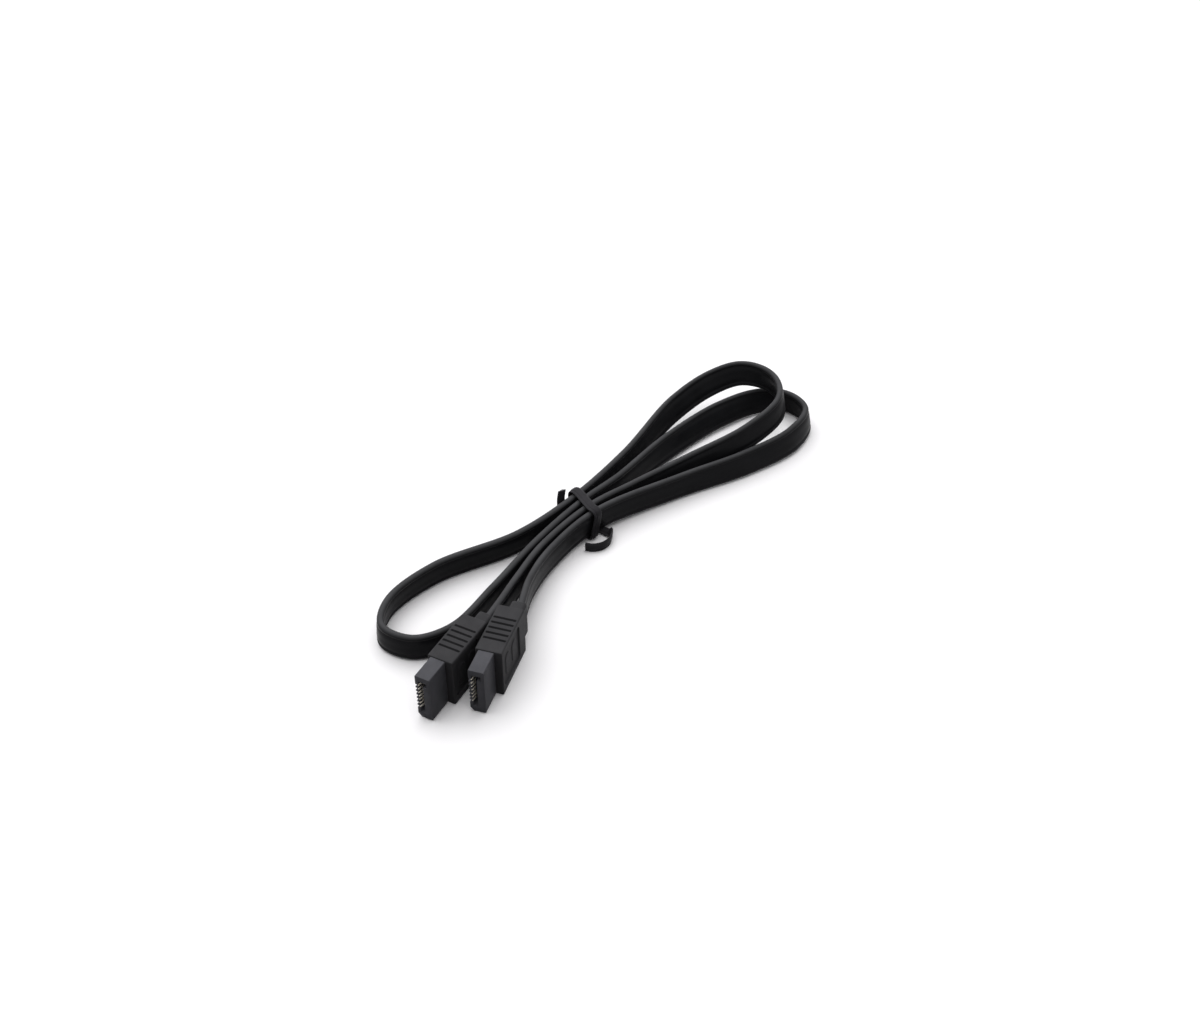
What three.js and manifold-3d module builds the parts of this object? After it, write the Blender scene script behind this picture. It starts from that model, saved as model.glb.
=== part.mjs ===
// A serial data cable for a disk drive: one flat black lead, standing on its narrow
// edge, folded into a hank with a twist tie around its middle, and a straight moulded
// plug on each end. Millimetres, Z up, standing on z = 0. X runs along the hank, the
// plugs point to -X. Left and right of the lead are seen along its route.
import * as THREE from "three";
import { mergeVertices } from "three/addons/utils/BufferGeometryUtils.js";
import Module from "manifold-3d";

const wasm = await Module();
wasm.setup();

// The flat lead: two shielded pairs side by side in one jacket.
const lead = { width: 8.1, thickness: 2.1, edgeRadius: 0.6, steps: 80 };

// The lead's middle line from plug A to plug B: x, y, height, and how far its upper
// edge leans to the left, in radians.
const route = [
  [-61.5, -19.8, 7.55, 0], [-54.9, -16.5, 7.55, 0], [-48.1, -12.4, 7, 0], [-38.3, -6, 5.95, 0],
  [-24.3, 2.1, 4.8, 0], [-4.6, 7.6, 5.25, 0], [11.7, 8.7, 4.9, 0.05], [32.7, 7.1, 6.7, 0.2],
  [53.2, 4.8, 9.9, 0.32], [67.9, 7.6, 12.3, 0.26], [73.5, 14.4, 12.9, 0.12], [74.3, 22.4, 12.9, -0.06],
  [70.3, 29.5, 12.2, -0.32], [61.1, 33.1, 9.9, -0.5], [46.4, 32.2, 7.1, -0.48], [20.5, 22, 5.4, -0.15],
  [-5.8, 13.5, 5.25, 0], [-27.3, 10.8, 4.3, 0.05], [-53.3, 13.3, 4.2, 0.05], [-70.7, 8.8, 4.2, 0.08],
  [-77.2, 0.5, 4.2, 0.08], [-72.9, -8.2, 4.2, 0.05], [-62.3, -10.5, 4.2, 0.03], [-44.3, -3.6, 4.2, 0],
  [-25.3, 4.5, 4.5, 0], [-5.2, 10.6, 5.25, 0], [11.7, 14.4, 4.6, 0.08], [35.6, 21, 4.2, 0.42],
  [58.7, 24.4, 4.1, 0.6], [73.3, 22.7, 4.15, 0.35], [80.5, 16.4, 4.25, -0.05], [79.9, 7.4, 4.25, -0.18],
  [68.7, 1.2, 4.25, -0.38], [49.7, 0.5, 4.25, -0.3], [25.7, 3.5, 4.4, -0.1], [-4, 4.7, 5.25, 0],
  [-23.3, -0.8, 4.9, -0.04], [-36.6, -9.5, 6.7, 0], [-45.4, -18, 7.55, 0], [-51.3, -22.4, 7.55, 0],
];

// Four strands of the lead pass through the tie, side by side; middle is their height.
const bundle = { x: -4.9, y: 9.1, yaw: 0.2, strands: 4, pitch: 3, middle: 5.25 };

// A plug's own frame: x to its mating face, y across its thin way, z up. Its origin is
// on the floor below the lead, at the back face of the body.
const body = { length: 17, thickness: 7.3, height: 15, side: -0.6, cornerRadius: 0.5, bevel: 0.25 };
const grip = { count: 5, pitch: 1.95, width: 0.62, depth: 0.6, middle: 8.6, margin: 0.6 };
const panel = { start: 4.3, end: 15.7, bottom: 1.8, top: 13.2, depth: 0.45, cornerRadius: 1.1 };
const pad = { width: 3.2, height: 7, proud: 0.2, spacing: 4.8 };
const neck = { length: 4.7, thickness: 4.2, height: 11, cornerRadius: 0.9, bevel: 0.5 };
const leadSocket = { depth: 2.8, clearance: 0.35 };

// The insert carries the contacts: its hood stands out of the body and its tail is
// moulded in. The receptacle in its face is an L: a long slot with a foot at the top.
const hood = { length: 7.2, thickness: 4.3, height: body.height - 0.6, side: -1.2, chamfer: 1 };
const tail = { length: 4.6, thickness: 3.3, height: body.height - 3.4 };
const seatGap = 0.3;
const slot = { width: 1.35, height: 10.9, depth: 6.2, footReach: 1.1, footHeight: 1.5, wall: 0.9 };
const contact = { count: 7, pitch: 1.27, width: 0.55, thickness: 0.22, recess: 0.5, tailRun: 2 };
const channel = { width: 0.82, depth: 0.55, notch: 1.7 };
const contactGap = 0.12;

// The twist tie is a plastic strip with a wire along its middle. Its thicknesses are
// those of the broad crown over the wire, the groove beside it, the bead and the edges.
const strip = { width: 3, crown: 0.7, groove: 0.28, bead: 0.5, edge: 0.3, gap: 0.45, bend: 1.5, steps: 100 };
const wire = { diameter: 0.38, proud: 0.5, inside: 0.6, clearance: 0.06 };

const cutOver = 1;

const blackPlastic = new THREE.MeshStandardMaterial({ color: 0x2c2d30, roughness: 0.55 });
const insertPlastic = new THREE.MeshStandardMaterial({ color: 0x26272a, roughness: 0.5 });
const blackJacket = new THREE.MeshStandardMaterial({ color: 0x1b1b1d, roughness: 0.42 });
const tieStrip = new THREE.MeshStandardMaterial({ color: 0x242426, roughness: 0.38 });
const platedMetal = new THREE.MeshStandardMaterial({ color: 0xc9b27a, roughness: 0.25, metalness: 1 });
const steelWire = new THREE.MeshStandardMaterial({ color: 0xb9bbbd, roughness: 0.3, metalness: 1 });

// A closed geometry as a solid that can be cut and joined.
function solidOf(geometry) {
  const bare = geometry.clone();
  bare.deleteAttribute("normal");
  bare.deleteAttribute("uv");
  const merged = mergeVertices(bare, 1e-4);
  return new wasm.Manifold(
    new wasm.Mesh({
      numProp: 3,
      vertProperties: new Float32Array(merged.attributes.position.array),
      triVerts: new Uint32Array(merged.index.array),
    }),
  );
}

// A solid back as a geometry with flat faces.
function geometryOf(solid) {
  const mesh = solid.getMesh();
  const geometry = new THREE.BufferGeometry();
  geometry.setAttribute("position", new THREE.BufferAttribute(mesh.vertProperties, 3));
  geometry.setIndex(new THREE.BufferAttribute(mesh.triVerts, 1));
  const flat = geometry.toNonIndexed();
  flat.computeVertexNormals();
  return flat;
}

function meshOf(name, geometry, material) {
  const mesh = new THREE.Mesh(geometry, material);
  mesh.name = name;
  return mesh;
}

// A rectangle about the origin with round corners, as an outline.
function roundedOutline(width, height, radius) {
  const x = width / 2 - radius;
  const y = height / 2 - radius;
  const shape = new THREE.Shape();
  shape.absarc(x, y, radius, 0, Math.PI / 2);
  shape.absarc(-x, y, radius, Math.PI / 2, Math.PI);
  shape.absarc(-x, -y, radius, Math.PI, 1.5 * Math.PI);
  shape.absarc(x, -y, radius, 1.5 * Math.PI, 2 * Math.PI);
  return shape;
}

// Turns an extrusion so that its outline lies in a plug's y and z and its depth is x.
const alongPlug = new THREE.Matrix4().makeBasis(
  new THREE.Vector3(0, 1, 0),
  new THREE.Vector3(0, 0, 1),
  new THREE.Vector3(1, 0, 0),
);

// A block with round edges along x and a bevel on both ends.
function plugBlock(start, end, side, middle, size, cornerRadius, bevel) {
  const outline = roundedOutline(size.thickness, size.height, cornerRadius);
  const geometry = new THREE.ExtrudeGeometry(outline, {
    depth: end - start - 2 * bevel,
    bevelSize: bevel,
    bevelOffset: -bevel,
    bevelThickness: bevel,
    bevelSegments: 2,
    curveSegments: 4,
  });
  geometry.translate(0, 0, bevel).applyMatrix4(alongPlug).translate(start, side, middle);
  return solidOf(geometry);
}

// An outline in y and z, cut or built straight along x.
function plugPrism(outline, start, end) {
  const geometry = new THREE.ExtrudeGeometry(outline, { depth: end - start, bevelEnabled: false });
  return solidOf(geometry.applyMatrix4(alongPlug).translate(start, 0, 0));
}

function plugBox(x0, x1, y0, y1, z0, z1) {
  const geometry = new THREE.BoxGeometry(x1 - x0, y1 - y0, z1 - z0);
  return solidOf(geometry.translate((x0 + x1) / 2, (y0 + y1) / 2, (z0 + z1) / 2));
}

const plugMiddle = body.height / 2;
const bodyLeft = body.side - body.thickness / 2;
const bodyRight = body.side + body.thickness / 2;

// Grooves across both narrow faces, for the fingers; they stop short of the corners.
function cutGrip(solid) {
  let cut = solid;
  for (let i = 0; i < grip.count; i++) {
    const x = grip.middle + (i - (grip.count - 1) / 2) * grip.pitch;
    const x0 = x - grip.width / 2;
    const x1 = x + grip.width / 2;
    const y0 = bodyLeft + grip.margin;
    const y1 = bodyRight - grip.margin;
    cut = cut
      .subtract(plugBox(x0, x1, y0, y1, body.height - grip.depth, body.height + cutOver))
      .subtract(plugBox(x0, x1, y0, y1, -cutOver, grip.depth));
  }
  return cut;
}

// An outline in x and z, extruded across the plug from y0 to y1.
function acrossPlug(outline, x, z, y0, y1) {
  const geometry = new THREE.ExtrudeGeometry(outline, {
    depth: y1 - y0,
    bevelEnabled: false,
    curveSegments: 6,
  });
  return solidOf(geometry.rotateX(Math.PI / 2).translate(x, y1, z));
}

// A shallow panel in both broad faces, and two plain oval pads in the right one.
function cutPanels(solid) {
  const width = panel.end - panel.start;
  const height = panel.top - panel.bottom;
  const x = (panel.start + panel.end) / 2;
  const z = (panel.bottom + panel.top) / 2;
  const outline = roundedOutline(width, height, panel.cornerRadius);
  let cut = solid
    .subtract(acrossPlug(outline, x, z, bodyRight - panel.depth, bodyRight + cutOver))
    .subtract(acrossPlug(outline, x, z, bodyLeft - cutOver, bodyLeft + panel.depth));
  const oval = roundedOutline(pad.width, pad.height, pad.width / 2 - 0.01);
  const padBase = bodyRight - panel.depth;
  for (const step of [-0.5, 0.5]) {
    const padX = x + step * pad.spacing;
    cut = cut.add(acrossPlug(oval, padX, z, padBase - panel.depth, padBase + pad.proud));
  }
  return cut;
}

// The moulded body, with the neck that the lead goes into.
function shellSolid() {
  const block = plugBlock(0, body.length, body.side, plugMiddle, body, body.cornerRadius, body.bevel);
  const neckBlock = plugBlock(-neck.length, neck.bevel + 1, 0, plugMiddle, neck, neck.cornerRadius, neck.bevel);
  const room = leadSocket.clearance;
  const socket = plugBox(
    -neck.length - cutOver,
    leadSocket.depth + room,
    -lead.thickness / 2 - room,
    lead.thickness / 2 + room,
    plugMiddle - lead.width / 2 - room,
    plugMiddle + lead.width / 2 + room,
  );
  const seat = plugBox(
    body.length - tail.length - seatGap,
    body.length + cutOver,
    hood.side - tail.thickness / 2 - seatGap,
    hood.side + tail.thickness / 2 + seatGap,
    plugMiddle - tail.height / 2 - seatGap,
    plugMiddle + tail.height / 2 + seatGap,
  );
  return cutPanels(cutGrip(block)).add(neckBlock).subtract(socket).subtract(seat);
}

const hoodBack = body.length + seatGap;
const hoodFront = hoodBack + hood.length;
const hoodLeft = hood.side - hood.thickness / 2;
const hoodRight = hood.side + hood.thickness / 2;
const slotLeft = hoodLeft + slot.wall;
const slotBottom = plugMiddle - slot.height / 2;
const slotTop = plugMiddle + slot.height / 2;

// The hood's outline: a rectangle whose lower left corner is cut off.
function hoodOutline() {
  const bottom = plugMiddle - hood.height / 2;
  const top = plugMiddle + hood.height / 2;
  return new THREE.Shape([
    new THREE.Vector2(hoodLeft + hood.chamfer, bottom),
    new THREE.Vector2(hoodRight, bottom),
    new THREE.Vector2(hoodRight, top),
    new THREE.Vector2(hoodLeft, top),
    new THREE.Vector2(hoodLeft, bottom + hood.chamfer),
  ]);
}

function slotOutline() {
  const right = slotLeft + slot.width;
  return new THREE.Shape([
    new THREE.Vector2(slotLeft, slotBottom),
    new THREE.Vector2(right, slotBottom),
    new THREE.Vector2(right, slotTop - slot.footHeight),
    new THREE.Vector2(right + slot.footReach, slotTop - slot.footHeight),
    new THREE.Vector2(right + slot.footReach, slotTop),
    new THREE.Vector2(slotLeft, slotTop),
  ]);
}

// Height of one contact's middle; the first is the lowest.
function contactHeight(index) {
  return plugMiddle + (index - (contact.count - 1) / 2) * contact.pitch;
}

const contactBack = hoodFront - slot.depth - contact.tailRun;
const contactTip = hoodFront - contact.recess;

function insertSolid() {
  const tailBox = plugBox(
    body.length - tail.length,
    hoodBack + cutOver,
    hood.side - tail.thickness / 2,
    hood.side + tail.thickness / 2,
    plugMiddle - tail.height / 2,
    plugMiddle + tail.height / 2,
  );
  let solid = plugPrism(hoodOutline(), hoodBack, hoodFront)
    .add(tailBox)
    .subtract(plugPrism(slotOutline(), hoodFront - slot.depth, hoodFront + cutOver));
  for (let i = 0; i < contact.count; i++) {
    const z0 = contactHeight(i) - channel.width / 2;
    const z1 = contactHeight(i) + channel.width / 2;
    const back = contactBack - contactGap;
    const floor = slotLeft - channel.depth;
    solid = solid
      .subtract(plugBox(back, hoodFront + cutOver, floor, slotLeft + contactGap, z0, z1))
      .subtract(plugBox(hoodFront - channel.notch, hoodFront + cutOver, hoodLeft - cutOver, slotLeft, z0, z1));
  }
  return solid;
}

// A sprung contact: a thin blade in its channel, with a hump that reaches into the slot.
function contactSolid(index) {
  const back = slotLeft - channel.depth + contactGap;
  const front = back + contact.thickness;
  const hump = slotLeft + contact.thickness;
  const humpX = contactTip - 1.4;
  const blade = new THREE.Shape([
    new THREE.Vector2(contactBack, back),
    new THREE.Vector2(humpX - 1.6, back),
    new THREE.Vector2(humpX, hump - contact.thickness),
    new THREE.Vector2(contactTip, back),
    new THREE.Vector2(contactTip, front),
    new THREE.Vector2(humpX, hump),
    new THREE.Vector2(humpX - 1.6, front),
    new THREE.Vector2(contactBack, front),
  ]);
  const geometry = new THREE.ExtrudeGeometry(blade, { depth: contact.width, bevelEnabled: false });
  return solidOf(geometry.translate(0, 0, contactHeight(index) - contact.width / 2));
}

// A path for a flat section: its side direction is chosen, so that it never rolls.
class GuidedPath extends THREE.CatmullRomCurve3 {
  constructor(points, sideAt) {
    super(points);
    this.sideAt = sideAt;
    this.arcLengthDivisions = 40 * points.length;
  }

  frameAt(u) {
    const tangent = this.getTangentAt(u);
    const along = this.getUtoTmapping(u) * (this.points.length - 1);
    const index = Math.min(Math.floor(along), this.points.length - 2);
    const normal = this.sideAt(index, along - index, tangent);
    normal.addScaledVector(tangent, -normal.dot(tangent)).normalize();
    return { tangent, normal, binormal: new THREE.Vector3().crossVectors(tangent, normal) };
  }

  computeFrenetFrames(segments) {
    const frames = Array.from({ length: segments + 1 }, (_, i) => this.frameAt(i / segments));
    return {
      tangents: frames.map((frame) => frame.tangent),
      normals: frames.map((frame) => frame.normal),
      binormals: frames.map((frame) => frame.binormal),
    };
  }
}

// The lead on its route. Its wide way is up, leaned by the route's angle.
function leadSolid() {
  const points = route.map(([x, y, z]) => new THREE.Vector3(x, y, z));
  const up = new THREE.Vector3(0, 0, 1);
  const path = new GuidedPath(points, (index, part, tangent) => {
    const lean = THREE.MathUtils.lerp(route[index][3], route[index + 1][3], part);
    const left = new THREE.Vector3().crossVectors(up, tangent).normalize();
    return up.clone().multiplyScalar(Math.cos(lean)).addScaledVector(left, Math.sin(lean));
  });
  const outline = roundedOutline(lead.width, lead.thickness, lead.edgeRadius);
  return solidOf(
    new THREE.ExtrudeGeometry(outline, { extrudePath: path, steps: lead.steps, curveSegments: 2 }),
  );
}

// The tie's frame: x along the strands, y across them, z up. Its half sizes follow the
// bundle that it holds.
const outerStrand = ((bundle.strands - 1) / 2) * bundle.pitch;
const reach = outerStrand + lead.thickness / 2 + strip.gap + strip.crown / 2;
const rise = lead.width / 2 + strip.gap + strip.crown / 2;
const low = bundle.middle - rise;
const high = bundle.middle + rise;
const bend = strip.bend;
const straight = 0.8;

// One bend of the strip round an edge of the bundle: a quarter turn with a short
// straight before and after it. Side and level say which edge, turn at which angle.
function stripBend(x, side, level, turn) {
  const y = side * (reach - bend);
  const z = level > 0 ? high - bend : low + bend;
  const stops = [[0, -straight], [0, 0], [0.5, 0], [1, 0], [1, straight]];
  return stops.map(([part, run]) => {
    const angle = turn - (part * Math.PI) / 2;
    const across = y + bend * Math.cos(angle) + run * Math.sin(angle);
    const height = z + bend * Math.sin(angle) - run * Math.cos(angle);
    return [x, across, height, 1, 0, 0];
  });
}

// The strip starts as a cut end behind the bundle, goes under it, up the front, over
// the top, down the back and under again. In front it turns onto its edge and curls
// into a hook. Each row is x, y, z and then the direction of the strip's width.
// Wrap says where each turn lies along the strands.
const wrap = { rear: -2.8, under: -2.4, front: -1.2, top: 1.3, back: 1.6 };
const hookRise = 1.2;
const stripRoute = [
  [-1.9, reach + 0.9, high + 0.5, 1, 0, 0.2],
  [-2.6, reach + 0.7, high - 2, 1, 0, 0.2],
  [-2.9, reach + 0.2, low + 3.4, 1, 0, 0.1],
  ...stripBend(wrap.rear, 1, -1, 0),
  ...stripBend(wrap.under, -1, -1, -Math.PI / 2),
  ...stripBend(wrap.front, -1, 1, Math.PI),
  ...stripBend(wrap.top, 1, 1, Math.PI / 2),
  ...stripBend(wrap.back, 1, -1, 0),
  [1.8, -reach + bend, low + 0.08, 1, 0, 0],
  [1.9, -reach - 0.8, low + 0.35, 1, 0, 0.2],
  [1.7, -reach - 2.1, low + 1.05, 0.7, 0.1, 0.9],
  [0.7, -reach - 3.5, low + hookRise, 0.15, 0, 1],
  [-1.4, -reach - 4.6, low + hookRise, 0, 0, 1],
  [-4.2, -reach - 4.6, low + hookRise, 0, 0, 1],
  [-6.6, -reach - 3.2, low + hookRise, 0, 0, 1],
  [-7.9, -reach - 1.2, low + hookRise, 0, 0, 1],
];

function stripPath() {
  const points = stripRoute.map(([x, y, z]) => new THREE.Vector3(x, y, z));
  const sides = stripRoute.map(([, , , x, y, z]) => new THREE.Vector3(x, y, z).normalize());
  return new GuidedPath(points, (index, part) =>
    new THREE.Vector3().lerpVectors(sides[index], sides[index + 1], part),
  );
}

// The strip's section, from its plain edge to the edge with the bead.
function stripOutline() {
  const half = strip.width / 2;
  const upper = [
    [half, strip.edge / 2],
    [0.6 * half, strip.crown / 2],
    [-0.27 * half, strip.crown / 2],
    [-0.53 * half, strip.groove / 2],
    [-0.73 * half, strip.bead / 2],
    [-half, strip.edge / 2],
  ];
  const lower = upper.map(([x, y]) => [x, -y]).reverse();
  return new THREE.Shape([...upper, ...lower].map(([x, y]) => new THREE.Vector2(x, y)));
}

// A rod along the strip's middle at one of its ends; run is how far it goes out of the
// strip and depth how far it goes in.
function endRod(path, u, diameter, run, depth) {
  const outward = path.getTangentAt(u).multiplyScalar(u > 0.5 ? 1 : -1);
  const middle = path.getPointAt(u).addScaledVector(outward, (run - depth) / 2);
  const turn = new THREE.Quaternion().setFromUnitVectors(new THREE.Vector3(0, 1, 0), outward);
  const geometry = new THREE.CylinderGeometry(diameter / 2, diameter / 2, run + depth, 8);
  return solidOf(geometry.applyQuaternion(turn).translate(middle.x, middle.y, middle.z));
}

function tieGroup() {
  const path = stripPath();
  const bore = wire.diameter + 2 * wire.clearance;
  const swept = new THREE.ExtrudeGeometry(stripOutline(), { extrudePath: path, steps: strip.steps });
  const deep = wire.inside + wire.clearance;
  const stripSolid = solidOf(swept)
    .subtract(endRod(path, 0, bore, cutOver, deep))
    .subtract(endRod(path, 1, bore, cutOver, deep));
  const group = new THREE.Group();
  group.add(
    meshOf("twist_tie_strip", geometryOf(stripSolid), tieStrip),
    meshOf("twist_tie_wire_rear", geometryOf(endRod(path, 0, wire.diameter, wire.proud, wire.inside)), steelWire),
    meshOf("twist_tie_wire_front", geometryOf(endRod(path, 1, wire.diameter, wire.proud, wire.inside)), steelWire),
  );
  group.position.set(bundle.x, bundle.y, 0);
  group.rotation.z = bundle.yaw;
  return group;
}

// One plug on the end of the lead: end is the lead's last point and before the one
// before it, which give the plug its place and direction.
function plugGroup(letter, end, before) {
  const group = new THREE.Group();
  group.add(
    meshOf(`plug_${letter}_shell`, geometryOf(shellSolid()), blackPlastic),
    meshOf(`plug_${letter}_insert`, geometryOf(insertSolid()), insertPlastic),
  );
  for (let i = 0; i < contact.count; i++) {
    group.add(meshOf(`plug_${letter}_contact_${i + 1}`, geometryOf(contactSolid(i)), platedMetal));
  }
  const yaw = Math.atan2(end[1] - before[1], end[0] - before[0]);
  group.rotation.z = yaw;
  group.position.set(
    end[0] - leadSocket.depth * Math.cos(yaw),
    end[1] - leadSocket.depth * Math.sin(yaw),
    0,
  );
  return group;
}

const cable = new THREE.Group();
cable.add(
  meshOf("cable_lead", geometryOf(leadSolid()), blackJacket),
  plugGroup("a", route[0], route[1]),
  plugGroup("b", route.at(-1), route.at(-2)),
  tieGroup(),
);

export default cable;
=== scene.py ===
import math

import bmesh
import bpy
import numpy as np
from mathutils import Matrix, Vector


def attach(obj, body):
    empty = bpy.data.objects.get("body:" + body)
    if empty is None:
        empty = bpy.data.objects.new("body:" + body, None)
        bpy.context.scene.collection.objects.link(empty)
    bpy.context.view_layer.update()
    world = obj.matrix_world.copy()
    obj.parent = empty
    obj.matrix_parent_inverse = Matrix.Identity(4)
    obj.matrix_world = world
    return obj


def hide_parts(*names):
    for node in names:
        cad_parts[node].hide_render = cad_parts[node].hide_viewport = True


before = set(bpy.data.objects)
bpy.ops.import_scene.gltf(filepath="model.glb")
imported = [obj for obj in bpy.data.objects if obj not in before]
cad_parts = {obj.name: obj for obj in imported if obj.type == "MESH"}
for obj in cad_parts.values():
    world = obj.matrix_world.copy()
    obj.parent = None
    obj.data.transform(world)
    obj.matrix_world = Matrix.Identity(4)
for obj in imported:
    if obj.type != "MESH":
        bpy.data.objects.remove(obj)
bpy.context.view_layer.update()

mm = 0.001

# The photograph's camera: a 45 mm lens on a 36 mm wide sensor, looking down 40 degrees
photoView = {"eye": (-0.1977, -0.2638, 0.2855), "aim": (0.0037, 0.0134, 0.0), "lens": 45, "sensor": 36}

# The lead's middle line from plug A to plug B, in metres, and how far its upper edge
# leans to the left, in radians
leadRoute = [
    (-0.0615, -0.0198, 0.00755, 0), (-0.0549, -0.0165, 0.00755, 0),
    (-0.0481, -0.0124, 0.007, 0), (-0.0383, -0.006, 0.00595, 0),
    (-0.0243, 0.0021, 0.0048, 0), (-0.0046, 0.0076, 0.00525, 0),
    (0.0117, 0.0087, 0.0049, 0.05), (0.0327, 0.0071, 0.0067, 0.2),
    (0.0532, 0.0048, 0.0099, 0.32), (0.0679, 0.0076, 0.0123, 0.26),
    (0.0735, 0.0144, 0.0129, 0.12), (0.0743, 0.0224, 0.0129, -0.06),
    (0.0703, 0.0295, 0.0122, -0.32), (0.0611, 0.0331, 0.0099, -0.5),
    (0.0464, 0.0322, 0.0071, -0.48), (0.0205, 0.022, 0.0054, -0.15),
    (-0.0058, 0.0135, 0.00525, 0), (-0.0273, 0.0108, 0.0043, 0.05),
    (-0.0533, 0.0133, 0.0042, 0.05), (-0.0707, 0.0088, 0.0042, 0.08),
    (-0.0772, 0.0005, 0.0042, 0.08), (-0.0729, -0.0082, 0.0042, 0.05),
    (-0.0623, -0.0105, 0.0042, 0.03), (-0.0443, -0.0036, 0.0042, 0),
    (-0.0253, 0.0045, 0.0045, 0), (-0.0052, 0.0106, 0.00525, 0),
    (0.0117, 0.0144, 0.0046, 0.08), (0.0356, 0.021, 0.0042, 0.42),
    (0.0587, 0.0244, 0.0041, 0.6), (0.0733, 0.0227, 0.00415, 0.35),
    (0.0805, 0.0164, 0.00425, -0.05), (0.0799, 0.0074, 0.00425, -0.18),
    (0.0687, 0.0012, 0.00425, -0.38), (0.0497, 0.0005, 0.00425, -0.3),
    (0.0257, 0.0035, 0.0044, -0.1), (-0.004, 0.0047, 0.00525, 0),
    (-0.0233, -0.0008, 0.0049, -0.04), (-0.0366, -0.0095, 0.0067, 0),
    (-0.0454, -0.018, 0.00755, 0), (-0.0513, -0.0224, 0.00755, 0),
]


def link(obj):
    bpy.context.scene.collection.objects.link(obj)
    return obj


def addCamera():
    data = bpy.data.cameras.new("photoCamera")
    data.lens = photoView["lens"]
    data.sensor_width = photoView["sensor"]
    data.sensor_fit = "HORIZONTAL"
    camera = link(bpy.data.objects.new("photoCamera", data))
    eye = Vector(photoView["eye"])
    camera.location = eye
    camera.rotation_euler = (Vector(photoView["aim"]) - eye).to_track_quat("-Z", "Y").to_euler()
    bpy.context.scene.camera = camera


# Nodes

# A socket's output. Numbers can be worked out with it as in any Python expression.
class Flow:
    def __init__(self, kit, socket):
        self.kit = kit
        self.socket = socket

    def other(self, name):
        return Flow(self.kit, self.socket.node.outputs[name])

    def maths(self, operation, a, b):
        return self.kit.node("ShaderNodeMath", {"operation": operation}, {0: a, 1: b})

    def __add__(self, value):
        return self.maths("ADD", self, value)

    def __sub__(self, value):
        return self.maths("SUBTRACT", self, value)

    def __rsub__(self, value):
        return self.maths("SUBTRACT", value, self)

    def __mul__(self, value):
        return self.maths("MULTIPLY", self, value)

    def __truediv__(self, value):
        return self.maths("DIVIDE", self, value)

    def __abs__(self):
        return self.maths("ABSOLUTE", self, 0)

    __radd__ = __add__
    __rmul__ = __mul__


# Builds the nodes of one tree. Settings come first, then values or links by socket.
class NodeKit:
    def __init__(self, tree):
        self.tree = tree

    def node(self, kind, settings=None, sockets=None, out=0):
        made = self.tree.nodes.new(kind)
        for name, value in (settings or {}).items():
            if name == "stops":
                self.setStops(made.color_ramp, value)
            else:
                setattr(made, name, value)
        for key, value in (sockets or {}).items():
            if isinstance(value, Flow):
                self.tree.links.new(value.socket, made.inputs[key])
            else:
                made.inputs[key].default_value = value
        return Flow(self, made.outputs[out]) if made.outputs else None

    def setStops(self, ramp, stops):
        while len(ramp.elements) < len(stops):
            ramp.elements.new(1)
        for element, (place, grey) in zip(ramp.elements, stops):
            element.position = place
            element.color = (grey, grey, grey, 1)

    def vector(self, x, y, z):
        return self.node("ShaderNodeCombineXYZ", None, {0: x, 1: y, 2: z})

    def noise(self, place, scale, detail=2, roughness=0.5):
        sockets = {"Vector": place, "Scale": scale, "Detail": detail, "Roughness": roughness}
        return self.node("ShaderNodeTexNoise", None, sockets)

    def ramp(self, value, stops):
        return self.node("ShaderNodeValToRGB", {"stops": stops}, {0: value})

    def mixColour(self, factor, first, second):
        return self.node("ShaderNodeMix", {"data_type": "RGBA"}, {0: factor, 6: first, 7: second}, out=2)

    def bump(self, height, distance, strength=1, normal=None):
        sockets = {"Height": height, "Distance": distance, "Strength": strength}
        if normal:
            sockets["Normal"] = normal
        return self.node("ShaderNodeBump", None, sockets)


def newFinish(name):
    material = bpy.data.materials.new(name)
    material.use_nodes = True
    material.node_tree.nodes.clear()
    return material, NodeKit(material.node_tree)


def closeFinish(kit, sockets):
    surface = kit.node("ShaderNodeBsdfPrincipled", None, sockets)
    kit.node("ShaderNodeOutputMaterial", None, {"Surface": surface})


def newTree(name, sockets):
    tree = bpy.data.node_groups.new(name, "GeometryNodeTree")
    for label, kind, inOut in sockets:
        tree.interface.new_socket(name=label, in_out=inOut, socket_type="NodeSocket" + kind)
    kit = NodeKit(tree)
    entry = kit.node("NodeGroupInput")
    return tree, kit, entry


# Ends a tree: its instances are made real and given the material
def closeTree(tree, kit, entry, geometry):
    real = kit.node("GeometryNodeRealizeInstances", None, {"Geometry": geometry})
    sockets = {"Geometry": real, "Material": entry.other("Material")}
    kit.node("NodeGroupOutput", None, {0: kit.node("GeometryNodeSetMaterial", None, sockets)})
    return tree


# Runs a tree on a source mesh and keeps the result as a plain mesh
def growPiece(name, source, tree, values, material):
    carrier = link(bpy.data.objects.new(name + "Source", source))
    modifier = carrier.modifiers.new(tree.name, "NODES")
    modifier.node_group = tree
    for item in tree.interface.items_tree:
        if item.in_out == "INPUT" and item.name in values:
            modifier[item.identifier] = values[item.name]
    carrier.update_tag()
    graph = bpy.context.evaluated_depsgraph_get()
    mesh = bpy.data.meshes.new_from_object(carrier.evaluated_get(graph))
    carrier.modifiers.remove(modifier)
    bpy.data.objects.remove(carrier)
    return finishPiece(name, mesh, material)


# Shapes

def meshFrom(name, points, faces=(), edges=()):
    mesh = bpy.data.meshes.new(name)
    mesh.from_pydata([tuple(p) for p in points], list(edges), [tuple(f) for f in faces])
    mesh.update()
    return mesh


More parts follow.
